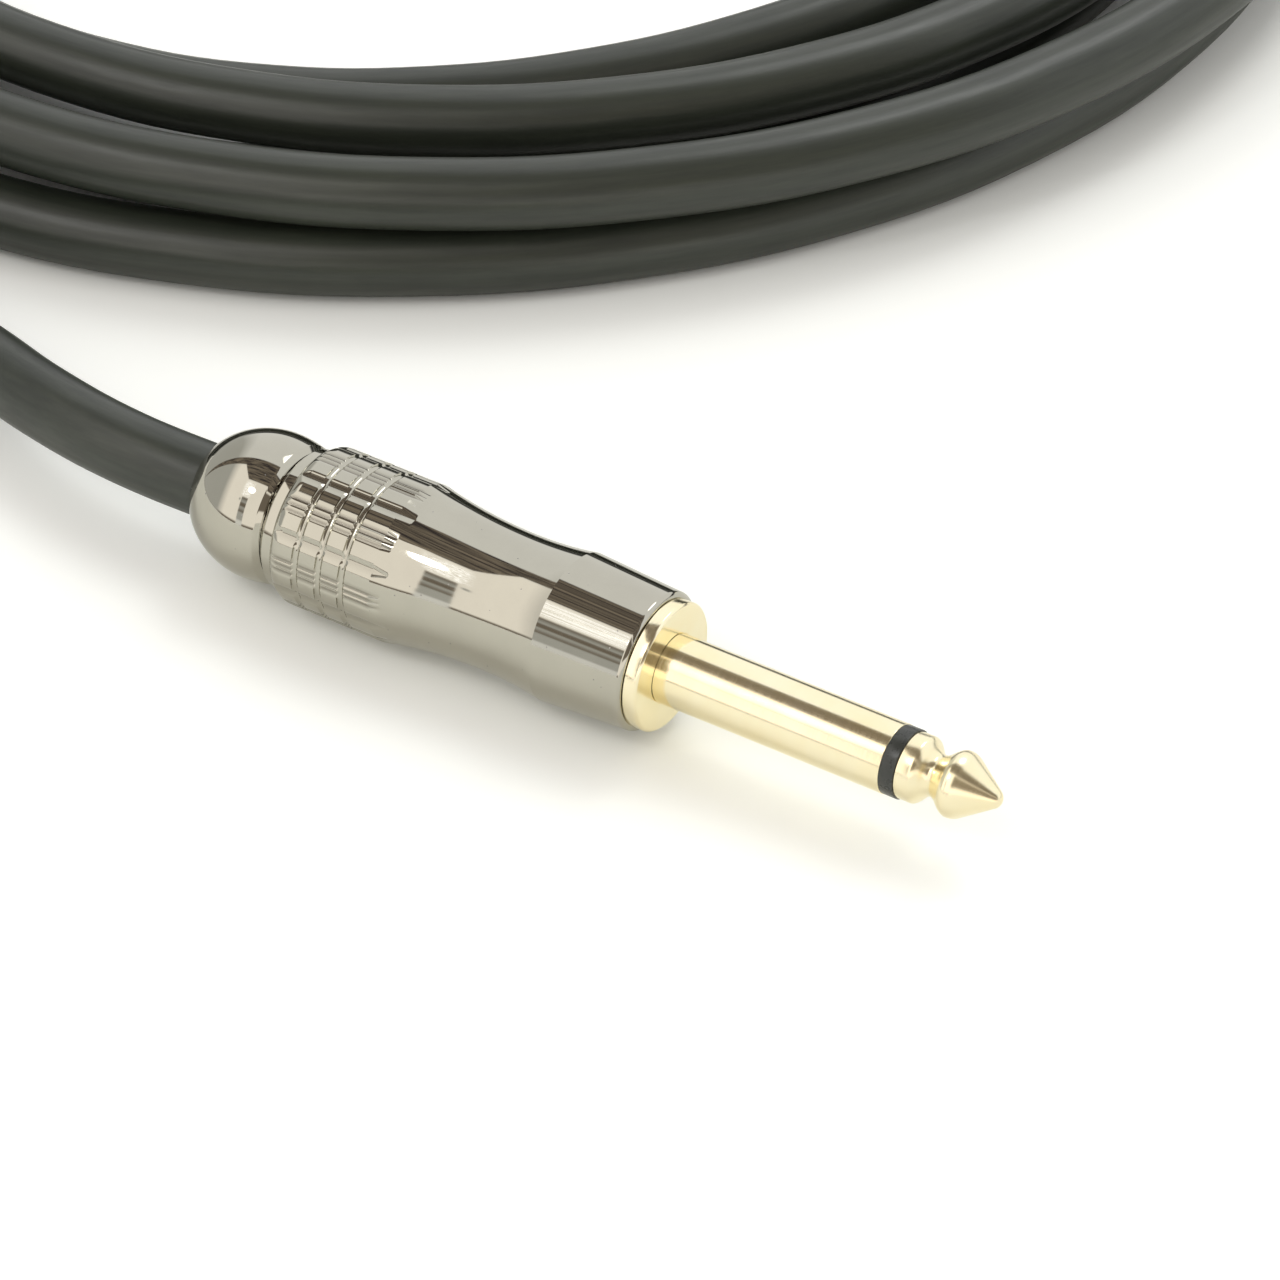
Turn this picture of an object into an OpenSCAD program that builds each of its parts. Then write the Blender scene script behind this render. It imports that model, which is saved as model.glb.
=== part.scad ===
// Coiled instrument lead: a round rubber-jacketed cord with a two-pole quarter-inch plug on each end.
// Each plug is turned metal: a gold-plated contact pair, a screw-on shell and a domed clamping cap.
// The lead lies on a surface at z = 0. Both plugs lie along X with their tips towards +X.

/* [Contacts] */
// Diameter of the sleeve contact, which the socket grips
sleeve_d = 6.35; // [6.2:0.05:6.5]
// Length from the shoulder to the insulating ring
sleeve_len = 22.3; // [20:0.1:24]
// Diameter of the sleeve's root, at the shoulder
root_d = 6.65; // [6.5:0.05:7.4]
// Length of the cone from the root to the sleeve
root_len = 1.2; // [0.6:0.1:3]
// Width of the insulating ring between the sleeve and the tip
ring_len = 1.35; // [0.8:0.05:2]
// How far the insulating ring lies below the sleeve's surface
ring_inset = 0.05; // [0:0.01:0.2]
// Length of the tip contact in front of the insulating ring
tip_len = 8.85; // [8:0.05:9.5]
// Diameter of the collar that the tip starts with
tip_collar_d = 6.0; // [5.6:0.05:6.2]
// Length of that collar
tip_collar_len = 1.2; // [0.6:0.05:1.5]
// Diameter of the tip's neck, where a socket's spring rests
tip_neck_d = 3.75; // [3.2:0.05:4.4]
// Distance of the neck from the insulating ring
tip_neck_at = 2.65; // [2.2:0.05:3]
// Diameter of the tip's ball
tip_ball_d = 6.0; // [5.6:0.05:6.2]
// Distance of the ball's widest place from the insulating ring
tip_ball_at = 4.95; // [4.4:0.05:5.4]
// Radius of the rounded nose
tip_nose_r = 0.95; // [0.6:0.05:1.4]
// Diameter of the rod that runs from the tip back to its lug
rod_d = 2.2; // [1.6:0.1:2.6]
// Wall of the insulating tube around the rod
tube_wall = 0.75; // [0.5:0.05:0.9]
// Wall of the spindle that the ground lug sits on
spindle_wall = 0.6; // [0.4:0.05:0.9]

/* [Plug body] */
// Diameter of the shoulder flange
flange_d = 11.75; // [11.2:0.05:12.4]
// Thickness of the shoulder flange
flange_len = 1.3; // [0.8:0.05:2]
// Chamfer on the flange's edges
flange_chamfer = 0.2; // [0.05:0.05:0.4]
// Outer diameter of the body's thread, which the shell screws onto
thread_d = 10; // [9.6:0.1:10.2]
// Length of that thread
thread_len = 8; // [6:0.5:9.5]
// Pitch of that thread, and of the cap's
thread_pitch = 1; // [0.5:0.05:1.25]
// Depth of both threads
thread_depth = 0.35; // [0.2:0.05:0.45]
// Thickness of the two solder lugs
lug_t = 0.6; // [0.4:0.05:0.8]
// Diameter of the ground lug's ring
ground_ring_d = 8.6; // [7.6:0.1:9]
// Length of the ground lug's tongue
ground_tongue_len = 10; // [7:0.5:13]
// Width of both lugs' tongues
tongue_w = 3; // [2:0.1:3.8]
// Thickness of the insulating washer between the lugs
washer_t = 1; // [0.5:0.1:1.6]
// How far the ground lug's tongue lies inside its ring's edge
lug_edge = 0.4; // [0.3:0.05:0.8]
// Diameter of the tip lug's ring
tip_ring_d = 4.8; // [4.4:0.1:5.4]
// Length of the tip lug's tongue
tip_tongue_len = 6; // [4.5:0.5:8]
// Diameter of the hole in each tongue
lug_hole_d = 1.2; // [0.8:0.1:1.6]
// Diameter of the rod's riveted head
rivet_d = 3.2; // [2.8:0.1:3.4]
// Length of the rod's riveted head
rivet_len = 0.6; // [0.4:0.1:1]

/* [Shell] */
// Length of the shell
shell_len = 37.2; // [36.9:0.1:38]
// Diameter of the shell's front rim
rim_d = 12.7; // [12.3:0.05:13.2]
// Chamfer at the front rim
rim_chamfer = 0.3; // [0.1:0.05:0.5]
// Distance of the front ridge from the rim
ridge_at = 8.8; // [7:0.1:11]
// Diameter of the front ridge
ridge_d = 13.65; // [13.1:0.05:14.4]
// Distance of the waist from the rim
waist_at = 15; // [13:0.1:17]
// Diameter of the waist
waist_d = 12.6; // [12.2:0.05:13]
// Distance of the grip from the rim
grip_at = 25.05; // [22:0.05:26.5]
// Length of the grip
grip_len = 9.45; // [9:0.05:9.6]
// Diameter of the grip, the plug's thickest place
grip_d = 14.6; // [14:0.05:15.6]
// Length of the slope behind the grip
slope_len = 1.3; // [0.6:0.05:1.6]
// Diameter of the plain band behind the slope
band_d = 12.9; // [12.6:0.05:13.5]
// Number of broad flutes around the grip
flutes = 8; // [4:1:10]
// Angle of the first broad flute from the top, in degrees
flute_turn = 16.5; // [0:0.5:45]
// Width of a broad flute at the surface
flute_w = 1.05; // [0.5:0.05:1.4]
// Depth of a broad flute
flute_depth = 0.28; // [0.1:0.02:0.4]
// Number of fine flutes between two broad ones
fine_flutes = 3; // [1:1:5]
// Angle between neighbouring fine flutes, in degrees
fine_step = 4.8; // [4:0.2:6]
// Width of a fine flute at the surface
fine_w = 0.42; // [0.2:0.02:0.5]
// Depth of a fine flute
fine_depth = 0.18; // [0.08:0.02:0.3]
// Number of round grooves across the grip
rings = 3; // [0:1:3]
// Distance of the last round groove from the grip's rear end
ring_at = 1.8; // [1:0.1:3]
// Distance between the round grooves
ring_step = 2.4; // [1.4:0.1:3]
// Width of a round groove
ring_w = 0.7; // [0.3:0.05:1]
// Depth of a round groove
ring_depth = 0.25; // [0.1:0.05:0.35]
// Inner diameter of the shell, where the liner lies
shell_bore = 10.5; // [10.3:0.1:11]
// Distance of the inner collar's front from the rim
collar_at = 28.1; // [26.9:0.1:29]
// Inner diameter of the collar's narrow front
collar_d = 8.3; // [8:0.1:8.8]
// Inner diameter of the collar's wide rear
collar_rear_d = 10; // [9.4:0.1:10.2]
// Wall of the insulating liner
liner_wall = 0.5; // [0.3:0.05:0.6]

/* [Cap] */
// Distance from the cap's front face to its widest place
dome_at = 2.85; // [2:0.05:4]
// Diameter of the dome
dome_d = 13.5; // [13:0.05:14.4]
// Length of the whole ellipse behind the widest place
dome_len = 7.5; // [6.5:0.05:9]
// Width of the cap's flat edge around the cord
mouth_round = 0.4; // [0.2:0.05:0.8]
// Depth of the groove between the shell and the cap
seam_depth = 0.5; // [0.2:0.05:0.6]
// Length of the cap's threaded spigot
spigot_len = 5; // [4.5:0.1:5.1]
// Outer diameter of that spigot
spigot_d = 10.6; // [10.3:0.05:10.8]
// Wall of the collet around the cord
collet_wall = 0.9; // [0.6:0.05:1]
// Number of slots between the collet's fingers
collet_slots = 4; // [2:1:6]
// Width of those slots
collet_slot_w = 0.7; // [0.3:0.1:1.2]
// Length of the collet's rear ring, which the slots leave whole
collet_foot = 2.55; // [2:0.05:5]

/* [Cord] */
// Diameter of the cord
cord_d = 6.8; // [6:0.1:7]
// Bore of the jacket, where the screen lies
jacket_bore = 3.9; // [3.6:0.1:4.4]
// Wall of the screen
screen_wall = 0.35; // [0.2:0.05:0.45]
// Diameter of the inner conductor
conductor_d = 0.7; // [0.4:0.05:1]
// Length from the shoulder to the jacket's cut end
strip_at = 24; // [22:0.5:26]
// Length of bared insulation in front of the jacket
core_bare_len = 4.5; // [3:0.25:5.5]
// Diameter of the screen's twisted tail
tail_d = 1.2; // [0.8:0.1:1.6]
// Radius of the solder drops
solder_r = 1.05; // [0.8:0.05:1.1]
// Radius of the coil's outermost front turn
coil_r = 82.5; // [81.5:0.5:83.5]
// Step between turns in one layer
turn_step = 11.6; // [11:0.1:12]
// Step between the two layers, over the cord's diameter
layer_gap = 0.5; // [0.45:0.05:0.8]

/* [Fits] */
// Running clearance on a radius, in the threads and around the cord's layers
running = 0.05; // [0.02:0.01:0.1]
// Clearance on a radius around the cord and the collet
slip = 0.1; // [0.05:0.01:0.15]
// Clearance on a radius between the cap's mouth and the cord
mouth_slip = 0.3; // [0.2:0.05:0.4]
// Gap between faces that are screwed up tight
seat_gap = 0.05; // [0.02:0.01:0.1]

/* [Hidden] */
$fn = 60;

// How far a cut runs past the face that it opens
cut = 1;
// Added to a loop's end so that rounding doesn't drop its last step
tiny = 0.001;
// How much thicker a wire is at a bend
bend_swell = 1.06;
// How far the lugs' holes lie from their tongues' ends, in hole diameters
hole_inset = 1.2;

// Radii that follow from the sizes and the fits
cord_r = cord_d / 2;
rod_r = rod_d / 2;
tube_bore = rod_r + running;
tube_r = tube_bore + tube_wall;
spindle_bore = tube_r + running;
spindle_r = spindle_bore + spindle_wall;
thread_r = thread_d / 2;
thread_bore = thread_r + running;
liner_r = shell_bore / 2 - slip;
spigot_r = spigot_d / 2;
collet_bore = cord_r + slip;
collet_r = collet_bore + collet_wall;
pocket_r = collet_r + slip;
mouth_r = cord_r + mouth_slip;
dome_r = dome_d / 2;
seam_r = band_d / 2 - seam_depth;
screen_r = jacket_bore / 2 - running;
core_r = screen_r - screen_wall - running;

// Places along a plug, from the shoulder's face; the tip points to +X.
ring_x = sleeve_len;
tip_x = ring_x + ring_len;
flange_x = -flange_len;
rear_x = flange_x - thread_len;
ground_lug_x = rear_x - lug_t;
washer_x = ground_lug_x - washer_t;
tip_lug_x = washer_x - lug_t;
rivet_x = tip_lug_x - rivet_len;
rim_x = flange_x - seat_gap;
ridge_x = rim_x - ridge_at;
waist_x = rim_x - waist_at;
grip_x = rim_x - grip_at;
grip_end_x = grip_x - grip_len;
slope_x = grip_end_x - slope_len;
shell_rear_x = rim_x - shell_len;
collar_x = rim_x - collar_at;
cap_x = shell_rear_x - seat_gap;
spigot_x = cap_x + spigot_len;
pocket_x = cap_x + seam_depth;
collar_rear_x = spigot_x + 2 * slip;
collet_cone_x = collar_rear_x + slip;
collet_front_x = collar_x - slip;
liner_rear_x = collar_x + slip;
liner_front_x = rear_x - slip;
dome_x = cap_x - dome_at;
dome_end = acos((mouth_r + mouth_round) / dome_r);
cord_exit_x = dome_x - dome_len * sin(dome_end);
strip_x = -strip_at;
core_end_x = strip_x + core_bare_len;

// The lugs' tongues: the ground lug's runs below the axis and the tip lug's above it.
ground_tongue_z = -ground_ring_d / 2 + lug_edge;
ground_face_z = ground_tongue_z + lug_t;
tip_face_z = tip_ring_d / 2 - lug_t;
washer_r = -ground_face_z - slip;
ground_joint_x = ground_lug_x - ground_tongue_len + lug_hole_d * hole_inset;
tip_joint_x = tip_lug_x - tip_tongue_len + lug_hole_d * hole_inset;
tail_z = ground_face_z + tail_d / 2 + running;
wire_z = tip_face_z - conductor_d / 2 - running;

// The two plugs lie side by side, centred on the origin, and their grips rest on the surface.
plug_len = tip_x + tip_len - cord_exit_x;
plug_shift = plug_len / 2 + cord_exit_x;
plug_apart = 200;
axis_z = grip_d / 2;

// The coil: its centre, the turns before it reverses and the rings along it, 24 to a turn
coil_x = -87;
coil_y = 10;
coil_start = 180;
coil_reverse = 2.61;
coil_rings = 126;
coil_core = coil_r - 2.05 * turn_step;
coil_oval = 3.5;
coil_lean = 2;
coil_turns = coil_rings / 24;
coil_in = coil_point(0) - cord_d * coil_heading(0);
coil_out = coil_point(coil_turns) + cord_d * coil_heading(coil_turns);
coil_path = concat([coil_in], [for (i = [0 : coil_rings]) coil_point(i / 24)], [coil_out]);

// The free runs: out of plug A's cap and round the coil onto its upper layer, and from its lower layer to plug B
run_a_path = concat(
    [[-plug_shift + cord_exit_x, -plug_apart / 2, axis_z]],
    [[-49.5, -100, 7.3], [-60, -98, 6.7], [-70, -94.4, 5.4], [-85, -90, 4], [-102, -86, 3.4],
        [-119, -80, 3.4], [-135.5, -72.5, 3.4], [-151.5, -61.5, 3.4], [-165.2, -48.5, 3.6],
        [-174, -31, 6.6], [-176.4, -14, 9.6]],
    [coil_in - cord_d * coil_heading(0), coil_in]);
run_b_path = concat(
    [coil_out, coil_out + cord_d * coil_heading(coil_turns)],
    [[-65.5, 100.8, 4.3], [-57, 100.3, 6.4], [-49.5, 100, 7.3]],
    [[-plug_shift + cord_exit_x, plug_apart / 2, axis_z]]);

// A solid turned about X from its outline of [x, radius] points
module turned(outline) {
    rotate([0, 90, 0]) rotate_extrude() polygon([for (p = outline) [p[1], p[0]]]);
}

// A round rod or hole along X
module round_x(x_low, x_high, r) {
    translate([x_low, 0, 0]) rotate([0, 90, 0]) cylinder(h = x_high - x_low, r = r);
}

// A tube along X; its bore is cut past both ends.
module tube_x(x_low, x_high, r, bore_r) {
    difference() {
        round_x(x_low, x_high, r);
        round_x(x_low - cut, x_high + cut, bore_r);
    }
}

// A wire of round section along straight stretches, with a slightly fuller round at each bend
module wire(points, r) {
    for (i = [0 : len(points) - 2]) {
        step = points[i + 1] - points[i];
        reach = norm(step);
        translate(points[i]) rotate([0, acos(step[2] / reach), atan2(step[1], step[0])])
            cylinder(h = reach, r = r);
        if (i > 0) translate(points[i]) sphere(r = r * bend_swell);
    }
}

// A plug's pieces are drawn about its own axis from its shoulder, and moved to its side of the part.
module at_plug(side) {
    translate([-plug_shift, side * plug_apart / 2, axis_z]) children();
}

// Roots and crests of a thread from x_low up to x_high
function thread_outline(x_low, x_high, crest_r) = [
    for (x = [x_low + thread_pitch / 2 : thread_pitch : x_high - thread_pitch / 2 + tiny])
        each [[x - thread_pitch / 4, crest_r], [x, crest_r - thread_depth], [x + thread_pitch / 4, crest_r]]];

// An arc that is level at one point and ends at another, as [x, radius] points
function level_arc(from, to, steps) =
    let (dx = to[0] - from[0], dr = to[1] - from[1], bend = (dx * dx + dr * dr) / (2 * dr))
    [for (i = [0 : steps]) [from[0] + dx * i / steps,
        from[1] + bend - sign(bend) * sqrt(bend * bend - pow(dx * i / steps, 2))]];

// A step from one radius to another that is level at both ends
function eased(from, to, steps) =
    [for (i = [0 : steps]) [from[0] + (to[0] - from[0]) * i / steps,
        from[1] + (to[1] - from[1]) * (1 - cos(180 * i / steps)) / 2]];

function reversed(list) = [for (i = [len(list) - 1 : -1 : 0]) list[i]];

// ---- Contacts and plug body ----

// The tip contact with its rod, whose riveted rear end holds the tip lug
module tip() {
    nose_x = tip_x + tip_len - tip_nose_r;
    neck = [tip_x + tip_neck_at, tip_neck_d / 2];
    ball = [tip_x + tip_ball_at, tip_ball_d / 2];
    slant = atan2(ball[1] - tip_nose_r, nose_x - ball[0]);
    color("gold") turned(concat(
        [[rivet_x, 0], [rivet_x, rivet_d / 2], [tip_lug_x, rivet_d / 2], [tip_lug_x, rod_r], [tip_x, rod_r]],
        [[tip_x, tip_collar_d / 2]],
        eased([tip_x + tip_collar_len, tip_collar_d / 2], neck, 5),
        eased(neck, ball, 6),
        [for (a = [90 - slant : -(90 - slant) / 4 : tiny]) [nose_x + tip_nose_r * cos(a), tip_nose_r * sin(a)]],
        [[nose_x + tip_nose_r, 0]]));
}

// The insulating ring that parts the tip from the sleeve
module tip_ring() {
    color([0.12, 0.12, 0.13]) tube_x(ring_x, tip_x, sleeve_d / 2 - ring_inset, tube_bore);
}

// The insulating tube around the rod
module rod_tube() {
    color([0.85, 0.85, 0.8]) tube_x(ground_lug_x, ring_x, tube_r, tube_bore);
}

// The sleeve contact, turned in one piece with the shoulder flange, the threaded body and its spindle
module sleeve() {
    color("gold") difference() {
        turned(concat(
            [[ground_lug_x, 0], [ground_lug_x, spindle_r], [rear_x, spindle_r]],
            thread_outline(rear_x, flange_x, thread_r),
            [[flange_x, thread_r]],
            [[flange_x, flange_d / 2 - flange_chamfer], [flange_x + flange_chamfer, flange_d / 2]],
            [[-flange_chamfer, flange_d / 2], [0, flange_d / 2 - flange_chamfer]],
            [[0, root_d / 2], [root_len, sleeve_d / 2], [ring_x, sleeve_d / 2], [ring_x, 0]]));
        round_x(ground_lug_x - cut, ring_x + cut, spindle_bore);
    }
}

// A flat lug: a ring around the axis and a tongue that leaves its edge at right angles
module lug(x, ring_r, hole_r, tongue_len, tongue_z) {
    difference() {
        union() {
            round_x(x, x + lug_t, ring_r);
            translate([x - tongue_len, -tongue_w / 2, tongue_z]) cube([tongue_len + lug_t, tongue_w, lug_t]);
        }
        round_x(x - cut, x + lug_t + cut, hole_r);
        translate([x - tongue_len + lug_hole_d * hole_inset, 0, tongue_z - cut])
            cylinder(h = lug_t + 2 * cut, d = lug_hole_d);
    }
}

// The ground lug sits on the spindle behind the body, with its tongue below.
module ground_lug() {
    color("silver") lug(ground_lug_x, ground_ring_d / 2, spindle_r + running, ground_tongue_len, ground_tongue_z);
}

// The insulating washer between the two lugs
module lug_washer() {
    color([0.55, 0.3, 0.2]) tube_x(washer_x, ground_lug_x, washer_r, tube_bore);
}

// The tip lug sits under the rod's riveted head, with its tongue above.
module tip_lug() {
    color("silver") lug(tip_lug_x, tip_ring_d / 2, tube_bore, tip_tongue_len, tip_face_z);
}

// ---- The cord's end inside the plug ----

// The jacket's end, gripped by the collet; the free cord starts at the cap's mouth.
module cord_end() {
    color([0.2, 0.2, 0.21]) tube_x(cord_exit_x, strip_x, cord_r, jacket_bore / 2);
}

// The copper screen inside the jacket, and its twisted tail down to the ground lug
module screen() {
    start_z = tail_d / 2 - screen_r + running;
    color([0.75, 0.45, 0.3]) difference() {
        union() {
            round_x(cord_exit_x, strip_x, screen_r);
            wire([[strip_x - tail_d, 0, start_z], [strip_x + tail_d, 0, start_z],
                [ground_joint_x, 0, tail_z], [ground_joint_x + solder_r, 0, tail_z]], tail_d / 2);
        }
        round_x(cord_exit_x - cut, core_end_x + cut, screen_r - screen_wall);
    }
}

// The insulation around the inner conductor
module core() {
    color("white") tube_x(cord_exit_x, core_end_x, core_r, conductor_d / 2 + running);
}

// The inner conductor, raised to lie under the tip lug's tongue
module conductor() {
    color([0.75, 0.45, 0.3]) wire([[cord_exit_x, 0, 0], [core_end_x + conductor_d, 0, 0],
        [tip_joint_x - 1.5 * solder_r, 0, wire_z], [tip_joint_x + solder_r, 0, wire_z]], conductor_d / 2);
}

// A drop of solder around a wire's end. It fills the lug's open side, from low_z up to high_z.
module solder_drop(x, z, wire_r, low_z, high_z) {
    color([0.7, 0.7, 0.72]) difference() {
        translate([x, 0, z]) sphere(r = solder_r);
        translate([x - solder_r, -solder_r, low_z - 2 * solder_r]) cube(2 * solder_r);
        translate([x - solder_r, -solder_r, high_z]) cube(2 * solder_r);
        translate([0, 0, z]) round_x(x - 2 * solder_r, x + 2 * solder_r, wire_r);
    }
}

module tip_solder() {
    solder_drop(tip_joint_x, wire_z, conductor_d / 2, wire_z - solder_r, tip_face_z);
}

module ground_solder() {
    solder_drop(ground_joint_x, tail_z, tail_d / 2, ground_face_z, tail_z + solder_r);
}

// ---- Shell and cap ----

// The insulating sleeve inside the shell; it travels with the shell but doesn't turn with it.
module liner() {
    color([0.9, 0.9, 0.88]) tube_x(liner_rear_x, liner_front_x, liner_r, liner_r - liner_wall);
}

// A straight V-shaped cut along the grip, open at both ends
module flute(angle, width, depth) {
    overcut = 1;
    rotate([angle, 0, 0]) translate([slope_x, 0, 0]) rotate([90, 0, 90])
        linear_extrude(height = waist_x - slope_x)
            polygon([[0, grip_d / 2 - depth], [-width / 2 * (1 + overcut / depth), grip_d / 2 + overcut],
                [width / 2 * (1 + overcut / depth), grip_d / 2 + overcut]]);
}

// Across the grip, round grooves from the last to the first
function ring_outline() = [
    for (i = [rings - 1 : -1 : 0]) let (x = grip_end_x + ring_at + i * ring_step)
        each [[x + ring_w / 2, grip_d / 2], [x + ring_w / 4, grip_d / 2 - ring_depth],
            [x - ring_w / 4, grip_d / 2 - ring_depth], [x - ring_w / 2, grip_d / 2]]];

// The screw-on shell: front ridge, waist, fluted grip and a plain band that ends at the seam groove
module shell() {
    waist = [waist_x, waist_d / 2];
    flute_step = 360 / flutes;
    color([0.5, 0.48, 0.46]) difference() {
        turned(concat(
            [[rim_x, thread_bore], [rim_x, rim_d / 2 - rim_chamfer], [rim_x - rim_chamfer, rim_d / 2]],
            reversed(level_arc(waist, [ridge_x, ridge_d / 2], 8)),
            level_arc(waist, [grip_x, grip_d / 2], 10),
            ring_outline(),
            level_arc([grip_end_x, grip_d / 2], [slope_x, band_d / 2], 4),
            [[shell_rear_x + seam_depth, band_d / 2], [shell_rear_x, seam_r]],
            [[shell_rear_x, spigot_r + running], [collar_rear_x, spigot_r + running]],
            [[collar_rear_x, collar_rear_d / 2], [collar_x, collar_d / 2], [collar_x, shell_bore / 2]],
            [[rear_x, shell_bore / 2], [rear_x, thread_bore]]));
        for (i = [0 : flutes - 1]) {
            flute(flute_turn + flute_step * i, flute_w, flute_depth);
            for (k = [0 : fine_flutes - 1])
                flute(flute_turn + flute_step * (i + 0.5) + fine_step * (k - (fine_flutes - 1) / 2),
                    fine_w, fine_depth);
        }
    }
}

// The collet: slotted fingers around the cord, whose cone lies in the shell's tapered collar
module collet() {
    taper = (collar_rear_d - collar_d) / 2 / (collar_x - collar_rear_x);
    function cone(x) = [x, collar_rear_d / 2 - slip - taper * (x - collar_rear_x)];
    color([0.15, 0.15, 0.16]) difference() {
        turned([[pocket_x, 0], [pocket_x, collet_r], [collet_cone_x, collet_r], cone(collet_cone_x),
            cone(collet_front_x), [collet_front_x, 0]]);
        round_x(pocket_x - cut, collet_front_x + cut, collet_bore);
        for (i = [0 : collet_slots - 1]) rotate([360 / collet_slots * i, 0, 0])
            translate([pocket_x + collet_foot, -collet_slot_w / 2, 0])
                cube([collet_front_x + cut - pocket_x - collet_foot, collet_slot_w, grip_d]);
    }
}

// The domed cap, screwed into the shell's rear end over the collet
module cap() {
    shoulder = [cap_x - seam_depth, band_d / 2];
    color([0.5, 0.48, 0.46]) turned(concat(
        [[spigot_x, pocket_r], [spigot_x, spigot_r - thread_depth]],
        reversed(thread_outline(cap_x, spigot_x, spigot_r)),
        [[cap_x, spigot_r], [cap_x, seam_r]],
        reversed(level_arc([dome_x, dome_r], shoulder, 6)),
        [for (i = [1 : 12]) let (a = dome_end * i / 12) [dome_x - dome_len * sin(a), dome_r * cos(a)]],
        [[cord_exit_x, mouth_r], [pocket_x - slip, mouth_r], [pocket_x - slip, pocket_r]]));
}

// ---- Cord ----

// A closed tube along a path of points. Its rings stand square to the path, with a corner straight down.
module swept(path, r, sides) {
    last = len(path) - 1;
    tangents = [for (i = [0 : last]) let (t = path[min(i + 1, last)] - path[max(i - 1, 0)]) t / norm(t)];
    corners = [for (i = [0 : last])
        let (t = tangents[i], across = cross(t, [0, 0, 1]) / norm(cross(t, [0, 0, 1])), up = cross(across, t))
        for (k = [0 : sides - 1]) path[i] + r * (cos(360 * k / sides - 90) * across + sin(360 * k / sides - 90) * up)];
    polyhedron(corners, concat(
        [for (k = [1 : sides - 2]) [0, k, k + 1]],
        [for (i = [0 : last - 1], k = [0 : sides - 1])
            let (a = i * sides + k, b = i * sides + (k + 1) % sides)
            each [[a, a + sides, b + sides], [a, b + sides, b]]],
        [for (k = [1 : sides - 2]) [last * sides, last * sides + k + 1, last * sides + k]]));
}

// The direction that the coil runs in after a number of turns
function coil_heading(turn) =
    let (step = coil_point(turn + tiny) - coil_point(turn - tiny)) step / norm(step);

// A step from 0 to 1 that is level at both ends
function smooth(f) = let (g = min(max(f, 0), 1)) g * g * (3 - 2 * g);

// The coil's centreline after a number of turns: inwards on the upper layer, then outwards on the lower
function coil_point(turn) =
    let (back = turn - coil_reverse,
        low = smooth(back * 2 + 0.5),
        angle = coil_start - 360 * turn,
        spread = turn_step * (abs(back) < 0.25 ? 2 * back * back + 0.125 : abs(back)),
        r = coil_core + spread + coil_oval * sin(2 * angle))
    [coil_x + coil_lean * (1 - low) + r * cos(angle), coil_y + r * sin(angle),
        cord_r + (cord_d + layer_gap) * (1 - low)];

module cord_coil() {
    color([0.2, 0.2, 0.21]) swept(coil_path, cord_r, 6);
}

module cord_run_a() {
    color([0.2, 0.2, 0.21]) swept(run_a_path, cord_r, 12);
}

module cord_run_b() {
    color([0.2, 0.2, 0.21]) swept(run_b_path, cord_r, 12);
}

// The least gap between two turns, measured from ring to ring more than half a turn apart
coil_gap = min([for (i = [0 : coil_rings - 12], j = [i + 12 : coil_rings])
    norm(coil_point(i / 24) - coil_point(j / 24))]) - cord_d;
echo(least_coil_gap = coil_gap);

at_plug(-1) tip();  // tip_a
at_plug(1) tip();  // tip_b
at_plug(-1) tip_ring();  // tip_ring_a
at_plug(1) tip_ring();  // tip_ring_b
at_plug(-1) rod_tube();  // rod_tube_a
at_plug(1) rod_tube();  // rod_tube_b
at_plug(-1) sleeve();  // sleeve_a
at_plug(1) sleeve();  // sleeve_b
at_plug(-1) ground_lug();  // ground_lug_a
at_plug(1) ground_lug();  // ground_lug_b
at_plug(-1) lug_washer();  // lug_washer_a
at_plug(1) lug_washer();  // lug_washer_b
at_plug(-1) tip_lug();  // tip_lug_a
at_plug(1) tip_lug();  // tip_lug_b
at_plug(-1) cord_end();  // cord_end_a
at_plug(1) cord_end();  // cord_end_b
at_plug(-1) screen();  // screen_a
at_plug(1) screen();  // screen_b
at_plug(-1) core();  // core_a
at_plug(1) core();  // core_b
at_plug(-1) conductor();  // conductor_a
at_plug(1) conductor();  // conductor_b
at_plug(-1) tip_solder();  // tip_solder_a
at_plug(1) tip_solder();  // tip_solder_b
at_plug(-1) ground_solder();  // ground_solder_a
at_plug(1) ground_solder();  // ground_solder_b
at_plug(-1) liner();  // liner_a
at_plug(1) liner();  // liner_b
at_plug(-1) shell();  // shell_a
at_plug(1) shell();  // shell_b
at_plug(-1) collet();  // collet_a
at_plug(1) collet();  // collet_b
at_plug(-1) cap();  // cap_a
at_plug(1) cap();  // cap_b
cord_run_a();
cord_coil();
cord_run_b();
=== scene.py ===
"""A coiled instrument lead: one rubber-jacketed cord with a quarter-inch plug on each end.

Lengths are in metres. Both plugs lie along X with their tips towards +X, and the lead lies on the floor,
z = 0. Outlines of turned pieces are in millimetres from the plug's shoulder, backwards being negative.
"""

import math

import bmesh
import bpy
from mathutils import Matrix, Vector


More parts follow.
